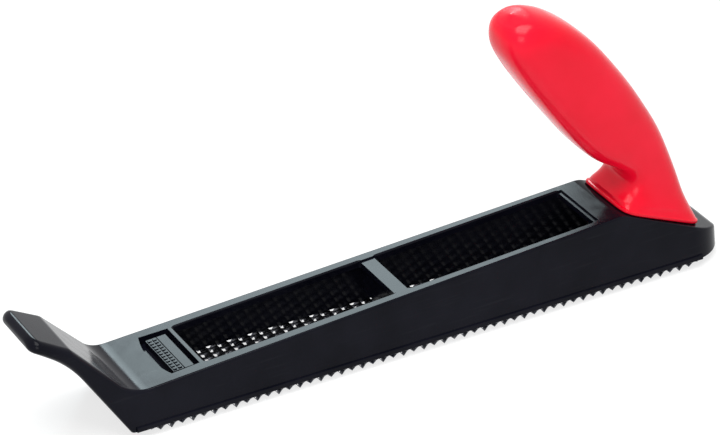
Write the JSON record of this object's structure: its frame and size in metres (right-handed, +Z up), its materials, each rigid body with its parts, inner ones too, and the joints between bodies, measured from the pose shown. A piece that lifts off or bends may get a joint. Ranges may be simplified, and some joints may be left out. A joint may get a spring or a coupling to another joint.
{
  "type": "rasp plane",
  "caption": "Rasp plane for plasterboard and aerated concrete: toothed perforated blade tensioned under an open moulded body with a front horn and a closed rear grip.",
  "frame": {"origin": "middle of the bounding box in plan, at the tooth tips that the tool rests on", "axes": "+X from the front horn to the rear grip along the blade, +Y to the left when looking along +X, +Z up from the work"},
  "size_m": [0.3043, 0.0448, 0.1243],
  "materials": {
    "black_plastic": "semi-gloss moulded black",
    "red_plastic": "glossy red",
    "blade_steel": "dark hardened strip",
    "zinc_steel": "zinc plated",
    "cast_zinc": "as cast"
  },
  "bodies": {
    "tool": {"body_shell": "black_plastic", "handle_grip": "red_plastic", "rasp_blade": "blade_steel", "anchor_pin": "zinc_steel", "screw_washer": "zinc_steel", "grip_screw_front": "zinc_steel", "grip_screw_rear": "zinc_steel", "grip_washer_front": "zinc_steel", "grip_washer_rear": "zinc_steel"},
    "screw": {"tension_screw": "zinc_steel"},
    "slider": {"tension_slider": "cast_zinc", "square_nut": "zinc_steel"}
  },
  "joints": [
    {"name": "tension_screw_turn", "type": "hinge", "parent": "tool", "child": "screw", "pos_m": [-0.11474, 0, 0.0094], "axis": [-1, 0, 0], "range_deg": [0, 1800]},
    {"name": "slider_travel", "type": "slide", "parent": "tool", "child": "slider", "axis": [1, 0, 0], "range_m": [0, 0.0035]}
  ],
  "couplings": [
    {"joint": "tension_screw_turn", "follows": "slider_travel", "rad_per_m": 8976}
  ]
}
